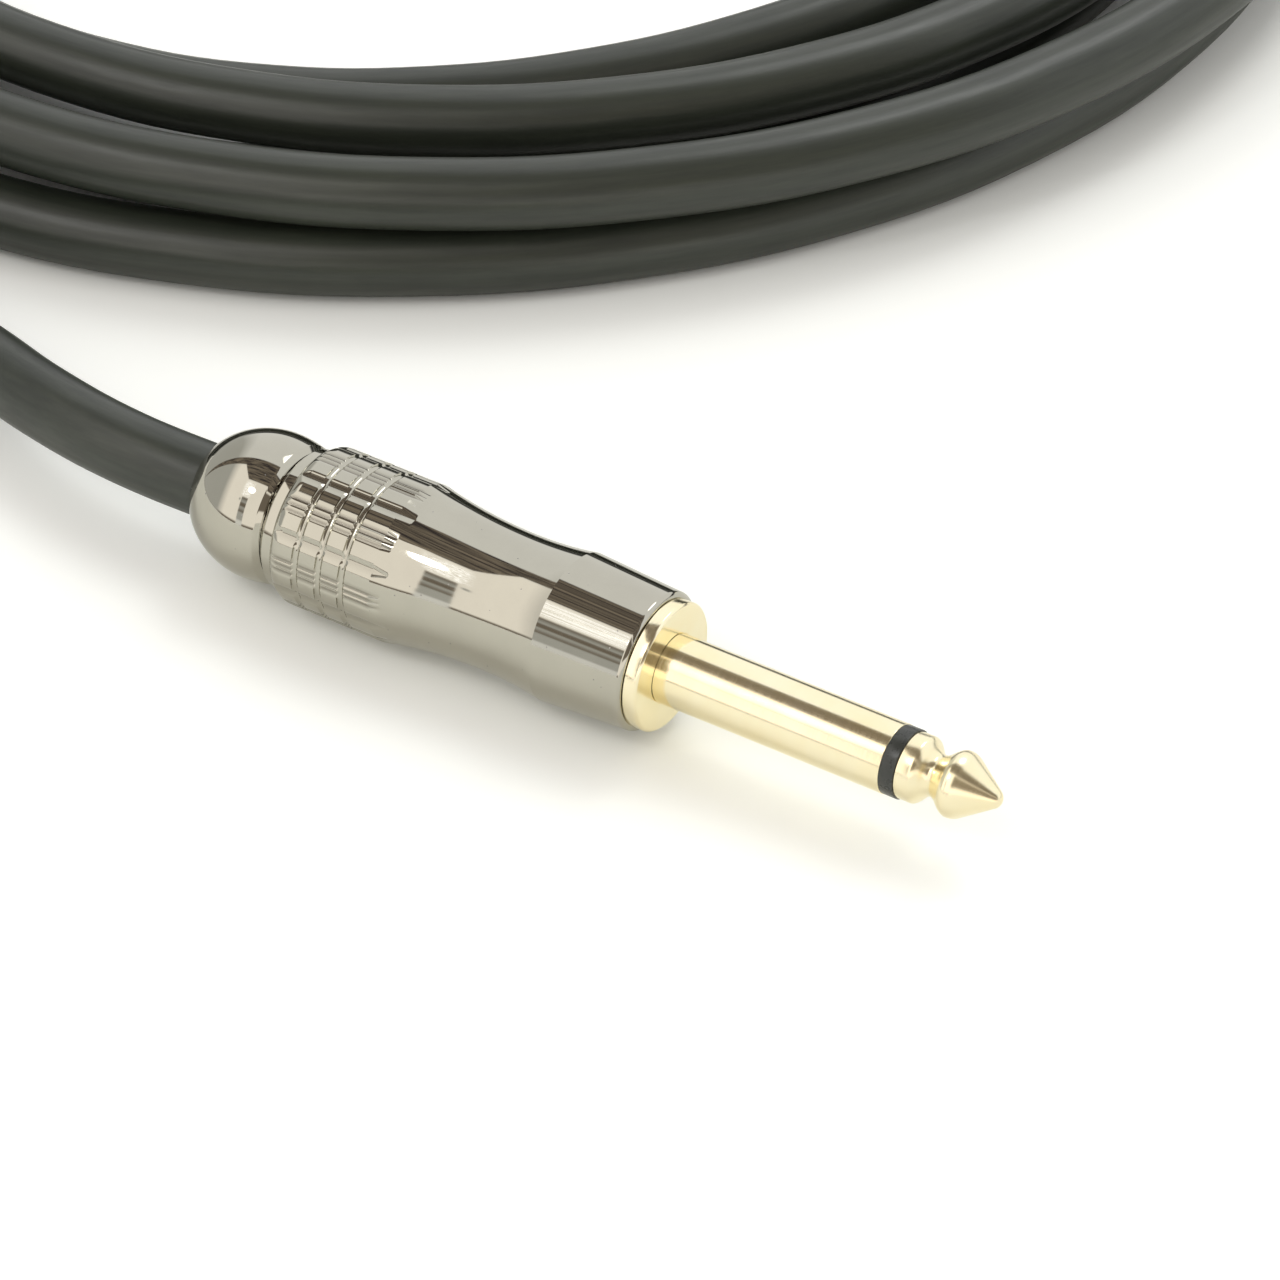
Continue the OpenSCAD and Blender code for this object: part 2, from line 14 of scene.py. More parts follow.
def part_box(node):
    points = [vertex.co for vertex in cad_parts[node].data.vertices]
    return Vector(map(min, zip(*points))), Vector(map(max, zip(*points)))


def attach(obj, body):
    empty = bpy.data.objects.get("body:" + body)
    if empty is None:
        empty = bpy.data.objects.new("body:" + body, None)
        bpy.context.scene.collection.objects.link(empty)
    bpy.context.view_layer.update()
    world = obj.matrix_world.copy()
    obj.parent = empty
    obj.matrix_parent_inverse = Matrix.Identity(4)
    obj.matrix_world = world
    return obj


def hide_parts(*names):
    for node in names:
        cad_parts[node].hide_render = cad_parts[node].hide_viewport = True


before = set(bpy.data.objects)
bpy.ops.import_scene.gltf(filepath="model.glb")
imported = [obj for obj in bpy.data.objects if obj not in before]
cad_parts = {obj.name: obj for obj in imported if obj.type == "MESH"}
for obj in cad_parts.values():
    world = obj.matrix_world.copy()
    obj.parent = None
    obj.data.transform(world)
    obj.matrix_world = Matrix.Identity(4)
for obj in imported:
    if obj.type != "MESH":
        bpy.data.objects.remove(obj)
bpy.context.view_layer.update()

# ---- Camera ----
# A long lens looks down at plug A from in front of its tip, with the coil behind it.
MM = 0.001
CAMERA_SPOT = Vector((258.21, -496.82, 392.78)) * MM
CAMERA_AIM = Vector((7.45, -105.02, 13.81)) * MM
LENS_MM = 201.04
SENSOR_MM = 36
NEAREST = 0.01
FARTHEST = 20

lens = bpy.data.cameras.new("camera")
lens.sensor_width = SENSOR_MM
lens.lens = LENS_MM
lens.clip_start = NEAREST
lens.clip_end = FARTHEST
camera = bpy.data.objects.new("camera", lens)
camera.location = CAMERA_SPOT
camera.rotation_euler = (CAMERA_AIM - CAMERA_SPOT).to_track_quat("-Z", "Y").to_euler()
bpy.context.scene.collection.objects.link(camera)
bpy.context.scene.camera = camera

# ---- Cord ----
# One length of cord in a matt black rubber jacket. It starts just inside plug A's cap, climbs onto the coil,
# winds inwards on the upper layer and outwards on the lower one, and ends just inside plug B's cap.
CORD_D = 6.8 * MM
PLUG_EXIT = 39.954 * MM
CORD_INSET = 3 * MM
PLUG_SIDE = 100 * MM
AXIS_Z = 7.3 * MM
COIL_CENTRE = Vector((-87, 10, 0)) * MM
COIL_START = math.radians(180)
COIL_TURNS = 5.25
COIL_REVERSE = 2.61
COIL_RINGS = 24
TURN_STEP = 11.6 * MM
COIL_CORE = 58.72 * MM
COIL_OVAL = 3.5 * MM
COIL_LEAN = 2 * MM
LAYER_STEP = CORD_D + 0.5 * MM
REVERSE_SOFT = 0.25


def coil_point(turn):
    """The coil's centreline after a number of turns.

    It runs inwards on the upper layer and outwards on the lower one, with a soft reverse in between.
    """
    past = turn - COIL_REVERSE
    step = min(max(past / (2 * REVERSE_SOFT) + 0.5, 0), 1)
    low = step * step * (3 - 2 * step)
    steps_out = abs(past)
    if steps_out < REVERSE_SOFT:
        steps_out = (past * past / REVERSE_SOFT + REVERSE_SOFT) / 2
    angle = COIL_START - turn * math.tau
    r = COIL_CORE + TURN_STEP * steps_out + COIL_OVAL * math.sin(2 * angle)
    across = Vector((math.cos(angle), math.sin(angle), 0)) * r
    lifted = Vector((COIL_LEAN, 0, LAYER_STEP)) * (1 - low)
    return COIL_CENTRE + across + lifted + Vector((0, 0, CORD_D / 2))


def coil_heading(turn):
    """The direction that the coil runs in after a number of turns."""
    return (coil_point(turn + 0.001) - coil_point(turn - 0.001)).normalized()


coil_in = coil_point(0) - CORD_D * coil_heading(0)
coil_out = coil_point(COIL_TURNS) + CORD_D * coil_heading(COIL_TURNS)
leaving_plug_a = [
    (-49.5, -100, 7.3), (-60, -98, 6.7), (-70, -94.4, 5.4), (-85, -90, 4), (-102, -86, 3.4),
    (-119, -80, 3.4), (-135.5, -72.5, 3.4), (-151.5, -61.5, 3.4), (-165.2, -48.5, 3.6),
    (-174, -31, 6.6), (-176.4, -14, 9.6),
]
reaching_plug_b = [(-65.5, 100.8, 4.3), (-57, 100.3, 6.4), (-49.5, 100, 7.3)]
route = [Vector((CORD_INSET - PLUG_EXIT, -PLUG_SIDE, AXIS_Z))]
route += [Vector(p) * MM for p in leaving_plug_a]
route += [coil_in - CORD_D * coil_heading(0), coil_in]
route += [coil_point(i / COIL_RINGS) for i in range(round(COIL_TURNS * COIL_RINGS) + 1)]
route += [coil_out, coil_out + CORD_D * coil_heading(COIL_TURNS)]
route += [Vector(p) * MM for p in reaching_plug_b]
route += [Vector((CORD_INSET - PLUG_EXIT, PLUG_SIDE, AXIS_Z))]

cord_line = bpy.data.curves.new("cord", "CURVE")
cord_line.dimensions = "3D"
cord_line.resolution_u = 6
cord_line.bevel_depth = CORD_D / 2
cord_line.bevel_resolution = 8
cord_line.use_fill_caps = True
spline = cord_line.splines.new("BEZIER")
spline.bezier_points.add(len(route) - 1)
for knot, place in zip(spline.bezier_points, route):
    knot.co = place
    knot.handle_left_type = knot.handle_right_type = "AUTO"
cord = bpy.data.objects.new("cord", cord_line)
bpy.context.scene.collection.objects.link(cord)


def node_adder(tree):
    """A function that adds a shader node to a tree and links or sets its inputs."""

    def node(kind, inputs=(), **settings):
        new = tree.nodes.new("ShaderNode" + kind)
        for key, value in settings.items():
            setattr(new, key, value)
        for socket, value in dict(inputs).items():
            if isinstance(value, bpy.types.NodeSocket):
                tree.links.new(value, new.inputs[socket])
            else:
                new.inputs[socket].default_value = value
        return new

    return node


def new_material(name):
    """A new material with its Principled shader, and the functions that add its nodes and its links."""
    made = bpy.data.materials.new(name)
    made.use_nodes = True
    tree = made.node_tree
    return made, tree.nodes["Principled BSDF"], node_adder(tree), tree.links.new


def ramp_of(node, factor, stops):
    """A colour ramp on a factor, from (position, colour) stops."""
    made = node("ValToRGB", {0: factor})
    while len(made.color_ramp.elements) < len(stops):
        made.color_ramp.elements.new(0.5)
    for element, (place, colour) in zip(made.color_ramp.elements, stops):
        element.position = place
        element.color = (*colour, 1)
    return made.outputs[0]


def jacket_rubber():
    """Matt black rubber: a fine grain, faint lines from the die lengthwise and a slight change of tone."""
    made, shader, node, link = new_material("jacket_rubber")
    spots = node("TexCoord")
    place = spots.outputs["Object"]
    grain = node("TexNoise", {"Vector": place, "Scale": 2600, "Detail": 3, "Roughness": 0.6}).outputs["Fac"]
    tone = node("TexNoise", {"Vector": place, "Scale": 45, "Detail": 4, "Roughness": 0.55}).outputs["Fac"]
    drawn = node("VectorMath", {0: spots.outputs["UV"], 1: (12, 1, 0)}, operation="MULTIPLY").outputs[0]
    lines = node("TexNoise", {"Vector": drawn, "Scale": 26, "Detail": 3, "Roughness": 0.6}).outputs["Fac"]
    blend = node("Mix", {0: 0.55, 2: tone, 3: lines}).outputs[0]
    colour = ramp_of(node, blend, [(0.35, (0.020, 0.025, 0.018)), (0.65, (0.041, 0.048, 0.035))])
    link(colour, shader.inputs["Base Color"])
    rough = node(
        "MapRange", {"Value": blend, "From Min": 0.35, "From Max": 0.65, "To Min": 0.42, "To Max": 0.3},
    )
    link(rough.outputs[0], shader.inputs["Roughness"])
    ribs = node("Bump", {"Strength": 0.3, "Distance": 0.00004, "Height": lines})
    bump = node("Bump", {"Strength": 0.25, "Distance": 0.00003, "Height": grain, "Normal": ribs.outputs[0]})
    link(bump.outputs[0], shader.inputs["Normal"])
    shader.inputs["Specular IOR Level"].default_value = 0.65
    return made


cord.data.materials.append(jacket_rubber())
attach(cord, "lead")
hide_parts("cord_run_a", "cord_coil", "cord_run_b")

# ---- Sleeve contacts ----
# Each sleeve is turned in one piece from brass bar and plated in gold: the contact that a socket grips, the
# shoulder flange that stops at the socket, the threaded body that the shell screws onto, and its spindle.
PLUGS = {"a": -1, "b": 1}
SLEEVE_R = 3.175
SLEEVE_LEN = 22.3
ROOT_GAP = 0.07
ROOT_GAP_DEPTH = 0.12
FLANGE_R = 5.875
FLANGE_LEN = 1.3
FLANGE_CHAMFER = 0.2
THREAD_R = 5
THREAD_DEPTH = 0.35
CREST_HALF = 0.3
ROOT_HALF = 0.2
BODY_REAR = -9.3
SPINDLE_REAR = -9.9
SPINDLE_BORE = 1.95
SPINDLE_R = 2.55
WORN_FROM = 23
WEAR = 0.07
SHOULDER_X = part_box("sleeve_a")[1].x - SLEEVE_LEN * MM
SPOKES = 160
TINY = 0.0005 * MM


def turned(outline):
    """A bmesh turned about X from its outline of (x, radius) points in mm.

    A third value is the rounding of that corner, or 0 where the corner stays crisp.
    """
    bm = bmesh.new()
    crisp = bm.verts.layers.int.new("crisp")
    corners = [bm.verts.new((point[0] * MM, 0, point[1] * MM)) for point in outline]
    for corner, point in zip(corners, outline):
        corner[crisp] = point[2:] == (0,)
    bored = corners[0].co.z > TINY
    path = corners + corners[:1] if bored else corners
    for start, end in zip(path, path[1:]):
        bm.edges.new((start, end))
    for corner, point in zip(corners, outline):
        if point[2:] and point[2]:
            bmesh.ops.bevel(
                bm, geom=[corner], offset=point[2] * MM, offset_type="OFFSET", segments=4, profile=0.5,
                affect="VERTICES", material=-1,
            )
    bmesh.ops.spin(
        bm, geom=bm.verts[:] + bm.edges[:], cent=(0, 0, 0), axis=(1, 0, 0), dvec=(0, 0, 0), angle=math.tau,
        steps=SPOKES, use_merge=True,
    )
    bmesh.ops.remove_doubles(bm, verts=bm.verts[:], dist=TINY)
    bmesh.ops.recalc_face_normals(bm, faces=bm.faces[:])
    for edge in bm.edges:
        start, end = edge.verts
        edge.smooth = not (start[crisp] and end[crisp] and abs(start.co.x - end.co.x) < TINY)
    bm.verts.layers.int.remove(crisp)
    return bm


def on_each_plug(bm, base, body, material):
    """Puts a finished bmesh on both plugs in place of the nodes of that name, and frees it."""
    for face in bm.faces:
        face.smooth = True
    for side, across in PLUGS.items():
        mesh = bpy.data.meshes.new(f"turned_{base}_{side}")
        bm.to_mesh(mesh)
        mesh.transform(Matrix.Translation((SHOULDER_X, across * PLUG_SIDE, AXIS_Z)))
        mesh.materials.append(material)
        piece = bpy.data.objects.new(mesh.name, mesh)
        bpy.context.scene.collection.objects.link(piece)
        piece.modifiers.new("even shading", "WEIGHTED_NORMAL").keep_sharp = True
        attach(piece, body.format(side))
        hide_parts(f"{base}_{side}")
    bm.free()


def thread_ridges(low, high, crest):
    """Roots and crests of a thread of 1 mm pitch from one place up to another, on a crest radius."""
    ridges = []
    for i in range(round(high - low)):
        root = low + 0.5 + i
        ridges += [(root - CREST_HALF, crest), (root - ROOT_HALF, crest)]
        ridges += [(root, crest - THREAD_DEPTH), (root + ROOT_HALF, crest)]
    return ridges


def axis_distance(node):
    """The distance from the nearer plug's axis and the place along it, as two sockets."""
    place = node("SeparateXYZ", {0: node("TexCoord").outputs["Object"]})
    side = node("Math", {0: place.outputs["Y"]}, operation="ABSOLUTE").outputs[0]
    side = node("Math", {0: side, 1: PLUG_SIDE}, operation="SUBTRACT").outputs[0]
    up = node("Math", {0: place.outputs["Z"], 1: AXIS_Z}, operation="SUBTRACT").outputs[0]
    across = node("CombineXYZ", {0: side, 1: up}).outputs[0]
    return node("VectorMath", {0: across}, operation="LENGTH").outputs["Value"], place.outputs["X"]


def contact_gold():
    """Pale polished gold plating over fine turning lines, a little duller on the tip, which springs rub."""
    made, shader, node, link = new_material("contact_gold")
    radius, along = axis_distance(node)
    lathe = node("CombineXYZ", {0: radius, 1: along}).outputs[0]
    lines = node("TexNoise", {"Vector": lathe, "Scale": 9000, "Detail": 2, "Roughness": 0.7}).outputs["Fac"]
    tone = node("TexNoise", {"Scale": 160, "Detail": 3, "Roughness": 0.6})
    link(node("TexCoord").outputs["Object"], tone.inputs["Vector"])
    colour = ramp_of(node, tone.outputs["Fac"], [(0.3, (0.98, 0.87, 0.57)), (0.7, (1.0, 0.92, 0.67))])
    link(colour, shader.inputs["Base Color"])
    rough = node(
        "MapRange", {"Value": lines, "From Min": 0.3, "From Max": 0.7, "To Min": 0.1, "To Max": 0.2},
    )
    worn = node("Math", {0: along, 1: SHOULDER_X + WORN_FROM * MM}, operation="GREATER_THAN").outputs[0]
    wear = node("Math", {0: worn, 1: WEAR, 2: rough.outputs[0]}, operation="MULTIPLY_ADD")
    link(wear.outputs[0], shader.inputs["Roughness"])
    bump = node("Bump", {"Strength": 0.2, "Distance": 0.000006, "Height": lines})
    link(bump.outputs[0], shader.inputs["Normal"])
    shader.inputs["Metallic"].default_value = 1
    return made


gold = contact_gold()
sleeve_outline = [
    (SPINDLE_REAR, SPINDLE_BORE, 0), (SPINDLE_REAR, SPINDLE_R, 0.08), (BODY_REAR, SPINDLE_R, 0),
    (BODY_REAR, THREAD_R - THREAD_DEPTH, 0),
    *thread_ridges(BODY_REAR, -FLANGE_LEN, THREAD_R),
    (-FLANGE_LEN, THREAD_R, 0), (-FLANGE_LEN, FLANGE_R, 0.08), (-FLANGE_CHAMFER, FLANGE_R, 0.05),
    (0, FLANGE_R - FLANGE_CHAMFER, 0.05), (0, SLEEVE_R + ROOT_GAP, 0),
    (-ROOT_GAP_DEPTH, SLEEVE_R + ROOT_GAP, 0), (-ROOT_GAP_DEPTH, SLEEVE_R, 0),
    (SLEEVE_LEN, SLEEVE_R, 0.06), (SLEEVE_LEN, SPINDLE_BORE, 0),
]
on_each_plug(turned(sleeve_outline), "sleeve", "lead", gold)

# ---- Insulating rings ----
# A black plastic ring parts each sleeve from its tip. It lies a hair below the metal on both sides.
RING_R = 3.125
RING_FRONT = 23.65
ROD_BORE = 1.15


def insulator_black():
    """Smooth black moulded plastic with a faint haze."""
    made, shader, node, link = new_material("insulator_black")
    haze = node("TexNoise", {"Scale": 900, "Detail": 3, "Roughness": 0.6})
    link(node("TexCoord").outputs["Object"], haze.inputs["Vector"])
    dark, pale = (0.030, 0.033, 0.030), (0.050, 0.054, 0.048)
    link(ramp_of(node, haze.outputs["Fac"], [(0.3, dark), (0.7, pale)]), shader.inputs["Base Color"])
    rough = node("MapRange", {"Value": haze.outputs["Fac"], "To Min": 0.22, "To Max": 0.34})
    link(rough.outputs[0], shader.inputs["Roughness"])
    return made


ring_outline = [
    (SLEEVE_LEN, ROD_BORE, 0), (SLEEVE_LEN, RING_R, 0.06),
    (RING_FRONT, RING_R, 0.06), (RING_FRONT, ROD_BORE, 0),
]
on_each_plug(turned(ring_outline), "tip_ring", "lead", insulator_black())

# ---- Tip contacts ----
# Each tip is turned from brass bar and plated in gold: a collar, the neck where a socket's spring rests,
# the ball and the slanted nose. Its rod runs back through the plug and is riveted over the tip lug.
TIP_COLLAR_R = 3
TIP_COLLAR_END = 24.85
NECK = (26.3, 1.875)
BALL = (28.3, 3)
BALL_BEND = 1.7
BALL_STEPS = 10
NOSE_X = 31.55
NOSE_R = 0.95
ROD_R = 1.1
RIVET_R = 1.6
RIVET_REAR = -12.1
LUG_REAR = -11.5
EASE_STEPS = 16


def eased(start, end):
    """Outline points of a step that is level at both of its ends."""
    for i in range(EASE_STEPS + 1):
        share = (1 - math.cos(math.pi * i / EASE_STEPS)) / 2
        yield start[0] + (end[0] - start[0]) * i / EASE_STEPS, start[1] + (end[1] - start[1]) * share


def ball_and_nose():
    """Outline points of the ball behind the slant and of the rounded nose before it, down to the axis."""
    run, drop = NOSE_X - BALL[0], BALL[1] - BALL_BEND
    turn = math.acos((BALL_BEND - NOSE_R) / math.hypot(run, drop)) - math.atan2(drop, run)
    for i in range(BALL_STEPS + 1):
        angle = math.pi / 2 + (turn - math.pi / 2) * i / BALL_STEPS
        yield BALL[0] + BALL_BEND * math.cos(angle), drop + BALL_BEND * math.sin(angle)
    for i in range(BALL_STEPS + 1):
        angle = turn * (1 - i / BALL_STEPS)
        yield NOSE_X + NOSE_R * math.cos(angle), NOSE_R * math.sin(angle)


tip_outline = [
    (RIVET_REAR, 0), (RIVET_REAR, RIVET_R, 0.25), (LUG_REAR, RIVET_R, 0), (LUG_REAR, ROD_R, 0),
    (RING_FRONT, ROD_R, 0), (RING_FRONT, TIP_COLLAR_R, 0.1),
    *eased((TIP_COLLAR_END, TIP_COLLAR_R), NECK), *list(eased(NECK, BALL))[1:-1], *ball_and_nose(),
]
on_each_plug(turned(tip_outline), "tip", "lead", gold)

# ---- Inside the plugs ----
# The cord's inner pieces and the parts that they are soldered to keep their solids: insulating tubes,
# stamped and tinned lugs with a fibre washer between them, copper strands, drops of solder, the liner
# and the collet.


def plain_plastic(name, dark, pale, roughness):
    """Extruded or moulded plastic with a slightly cloudy colour and a fine surface grain."""
    made, shader, node, link = new_material(name)
    place = node("TexCoord").outputs["Object"]
    cloud = node("TexNoise", {"Vector": place, "Scale": 300, "Detail": 3, "Roughness": 0.6}).outputs["Fac"]
    link(ramp_of(node, cloud, [(0.3, dark), (0.7, pale)]), shader.inputs["Base Color"])
    grain = node("TexNoise", {"Vector": place, "Scale": 4000, "Detail": 2}).outputs["Fac"]
    bump = node("Bump", {"Strength": 0.2, "Distance": 0.00001, "Height": grain})
    link(bump.outputs[0], shader.inputs["Normal"])
    rough = node("MapRange", {"Value": cloud, "To Min": roughness - 0.06, "To Max": roughness + 0.06})
    link(rough.outputs[0], shader.inputs["Roughness"])
    return made


def worked_metal(name, dark, pale, roughness, scale, depth):
    """Bare or tinned metal with uneven tone and a worked surface of a given scale and depth."""
    made, shader, node, link = new_material(name)
    place = node("TexCoord").outputs["Object"]
    tone = node("TexNoise", {"Vector": place, "Scale": scale, "Detail": 4, "Roughness": 0.6}).outputs["Fac"]
    link(ramp_of(node, tone, [(0.3, dark), (0.7, pale)]), shader.inputs["Base Color"])
    bump = node("Bump", {"Strength": 0.4, "Distance": depth * MM, "Height": tone})
    link(bump.outputs[0], shader.inputs["Normal"])
    rough = node("MapRange", {"Value": tone, "To Min": roughness - 0.08, "To Max": roughness + 0.08})
    link(rough.outputs[0], shader.inputs["Roughness"])
    shader.inputs["Metallic"].default_value = 1
    return made


pale_insulation = plain_plastic("insulator_pale", (0.72, 0.70, 0.63), (0.80, 0.78, 0.71), 0.45)
tinned = worked_metal("tinned_lug", (0.62, 0.62, 0.60), (0.74, 0.74, 0.73), 0.32, 900, 0.01)
strands = worked_metal("copper", (0.70, 0.34, 0.20), (0.88, 0.50, 0.33), 0.35, 2600, 0.03)
FINISHES = {
    "rod_tube": pale_insulation,
    "core": pale_insulation,
    "ground_lug": tinned,
    "tip_lug": tinned,
    "lug_washer": plain_plastic("fibre_washer", (0.22, 0.075, 0.035), (0.33, 0.12, 0.06), 0.7),
    "screen": strands,
    "conductor": strands,
    "tip_solder": worked_metal("solder", (0.58, 0.58, 0.59), (0.76, 0.76, 0.78), 0.22, 700, 0.015),
    "liner": plain_plastic("liner_plastic", (0.74, 0.72, 0.66), (0.82, 0.80, 0.75), 0.4),
    "collet": plain_plastic("collet_plastic", (0.016, 0.016, 0.018), (0.028, 0.028, 0.031), 0.5),
    "cord_end": cord.data.materials[0],
}
FINISHES["ground_solder"] = FINISHES["tip_solder"]
for base, finish in FINISHES.items():
    for side in PLUGS:
        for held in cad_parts[f"{base}_{side}"].material_slots:
            held.material = finish

# ---- Shells ----
# Each shell is turned from brass bar, fluted lengthwise and plated in polished black nickel. It screws onto
# the sleeve's body, and its rear end takes the cap over a tapered collar that closes the collet.
RIM = (-1.35, 6.35)
RIM_CHAMFER = 0.3
RIM_ROUND = 0.14
RIDGE = (-10.15, 6.825)
WAIST = (-16.35, 6.3)
GRIP = (-26.4, 7.3)
GRIP_END = (-35.85, 7.3)
BAND = (-37.15, 6.45)
SHELL_REAR = -38.55
SEAM_DEPTH = 0.5
SHELL_THREAD_R = 5.05
SHELL_BORE = 5.25
COLLAR_FRONT = (-29.45, 4.15)
COLLAR_REAR = (-33.4, 5)
CAP_THREAD_BORE = 5.35
RING_GROOVES = (-29.25, -31.65, -34.05)
RING_GROOVE_W = 0.74
RING_GROOVE_DEPTH = 0.3
RING_GROOVE_STEPS = 7
FLUTE_STEP = math.radians(45)
FLUTE_TURN = math.radians(16.5)
FLUTE_W = 1.05
FLUTE_DEPTH = 0.28
FINE_STEP = math.radians(4.8)
FINE_W = 0.5
FINE_DEPTH = 0.2
LAND_STEPS = 5
# How much painted shade the bottoms of the broad and the fine flutes get.
FLUTE_SHADE_SHARE = {FLUTE_DEPTH: 0.2, FINE_DEPTH: 0.75}
FLUTE_CREASE = math.radians(12)
RUN_OUT = 0.1
FLUTES_FRONT_X = -24.8
FLUTES_EVEN_X = -20.8


def level_arc(level, end, steps):
    """Outline points of an arc that is level at one point and ends at another."""
    run, rise = end[0] - level[0], end[1] - level[1]
    bend = (run * run + rise * rise) / (2 * rise)
    for i in range(steps + 1):
        reach = run * i / steps
        fall = math.copysign(math.sqrt(bend * bend - reach * reach), bend)
        yield level[0] + reach, level[1] + bend - fall


def ring_groove(middle):
    """Outline points of one round-bottomed groove across the grip, from its front edge to its rear one."""
    half = RING_GROOVE_W / 2
    bend = (half * half + RING_GROOVE_DEPTH ** 2) / (2 * RING_GROOVE_DEPTH)
    reach = math.asin(half / bend)
    yield middle + half, GRIP[1], 0
    for i in range(1, 2 * RING_GROOVE_STEPS):
        turn = reach * (1 - i / RING_GROOVE_STEPS)
        yield middle + bend * math.sin(turn), GRIP[1] - RING_GROOVE_DEPTH + bend * (1 - math.cos(turn))
    yield middle - half, GRIP[1], 0


def black_nickel():
    """Black nickel on polished brass: a dark mirror with a faint haze, a few specks of dust, and painted
    shade in the flutes.
    """
    made, shader, node, link = new_material("black_nickel")
    place = node("TexCoord").outputs["Object"]
    haze = node("TexNoise", {"Vector": place, "Scale": 220, "Detail": 5, "Roughness": 0.6}).outputs["Fac"]
    dark, pale = (0.475, 0.457, 0.39), (0.505, 0.487, 0.415)
    colour = ramp_of(node, haze, [(0.3, dark), (0.7, pale)])
    dust = node("TexVoronoi", {"Vector": place, "Scale": 700, "Randomness": 1}).outputs["Distance"]
    speck = node("MapRange", {"Value": dust, "From Min": 0.03, "From Max": 0.06, "To Min": 1, "To Max": 0})
    paint = node("Mix", {0: speck.outputs[0], 6: colour, 7: (0.30, 0.29, 0.28, 1)}, data_type="RGBA")
    # Painted shade: the colour darkens towards the bottoms of the flutes, where they are marked.
    shade_share = node("Attribute", attribute_name="painted_flute_shade").outputs["Fac"]
    shaded_paint = node("Mix", {0: shade_share, 6: paint.outputs[2], 7: (0.20, 0.18, 0.15, 1)}, data_type="RGBA")
    link(shaded_paint.outputs[2], shader.inputs["Base Color"])
    rough = node(
        "MapRange", {"Value": haze, "From Min": 0.3, "From Max": 0.7, "To Min": 0.03, "To Max": 0.06},
    )
    grime = node("Math", {0: speck.outputs[0], 1: 0.4, 2: rough.outputs[0]}, operation="MULTIPLY_ADD")
    etched = node("Math", {0: shade_share, 1: 0.25, 2: grime.outputs[0]}, operation="MULTIPLY_ADD")
    link(etched.outputs[0], shader.inputs["Roughness"])
    swirl = node("TexNoise", {"Vector": place, "Scale": 1500, "Detail": 2}).outputs["Fac"]
    bump = node("Bump", {"Strength": 0.1, "Distance": 0.000004, "Height": swirl})
    link(bump.outputs[0], shader.inputs["Normal"])
    shader.inputs["Metallic"].default_value = 1
    return made


def flute_marks():
    """Where the spokes of one sector lie on the grip: each one's angle, its flute's depth and its edge.

    A sector runs from the middle of one broad flute to the next, with the fine flutes midway between
    them. It has 20 marks, one for each of its spokes.
    """
    broad, fine = FLUTE_W / 2 / GRIP[1], FINE_W / 2 / GRIP[1]
    fine_start, fine_end = FLUTE_STEP / 2 - FINE_STEP - fine, FLUTE_STEP / 2 + FINE_STEP + fine
    marks = [(0, FLUTE_DEPTH, 0), (broad, FLUTE_DEPTH, 1)]
    marks += [(broad + (fine_start - broad) * i / LAND_STEPS, 0, 0) for i in range(1, LAND_STEPS)]
    for middle in (FLUTE_STEP / 2 - FINE_STEP, FLUTE_STEP / 2, FLUTE_STEP / 2 + FINE_STEP):
        marks += [(middle - fine, FINE_DEPTH, -1), (middle, FINE_DEPTH, 0), (middle + fine, FINE_DEPTH, 1)]
    rest = FLUTE_STEP - broad - fine_end
    marks += [(fine_end + rest * i / LAND_STEPS, 0, 0) for i in range(1, LAND_STEPS)]
    return marks + [(FLUTE_STEP - broad, FLUTE_DEPTH, -1)]


def cut_flutes(bm):
    """Presses V-shaped flutes into the turned grip. They run out to a point where the shell narrows.

    The bottoms of the flutes are marked, so that the shell's colour is darkened there as painted shade, and
    made rougher.
    """
    painted_flute_shade = bm.verts.layers.float.new("painted_flute_shade")
    marks = flute_marks()
    spoke = math.tau / SPOKES
    for vertex in bm.verts:
        radius = math.hypot(vertex.co.y, vertex.co.z) / MM
        if radius < BAND[1] - SEAM_DEPTH:
            continue
        sector, place = divmod(round(math.atan2(-vertex.co.y, vertex.co.z) / spoke) % SPOKES, len(marks))
        angle, depth, edge = marks[place]
        floor_r = GRIP[1] - depth
        if edge:
            middle = angle - edge * (FLUTE_W if depth == FLUTE_DEPTH else FINE_W) / 2 / GRIP[1]
            opening = (radius - floor_r) / depth if radius > floor_r else RUN_OUT
            angle = middle + (angle - middle) * opening
        share = min(max((FLUTES_EVEN_X - vertex.co.x / MM) / (FLUTES_EVEN_X - FLUTES_FRONT_X), 0), 1)
        share = share * share * (3 - 2 * share)
        angle = FLUTE_TURN + sector * FLUTE_STEP + place * spoke * (1 - share) + angle * share
        # The flute's bottom is marked for painted shade, the more the deeper it lies.
        if depth and not edge and share == 1:
            vertex[painted_flute_shade] = min(max((radius - floor_r) / depth, 0), 1) * FLUTE_SHADE_SHARE[depth]
            radius = min(radius, floor_r)
        vertex.co.y, vertex.co.z = -radius * MM * math.sin(angle), radius * MM * math.cos(angle)
    for edge in bm.edges:
        start, end = edge.verts
        lengthwise = abs(start.co.x - end.co.x) > TINY
        if lengthwise and edge.calc_face_angle(0) > FLUTE_CREASE:
            edge.smooth = False


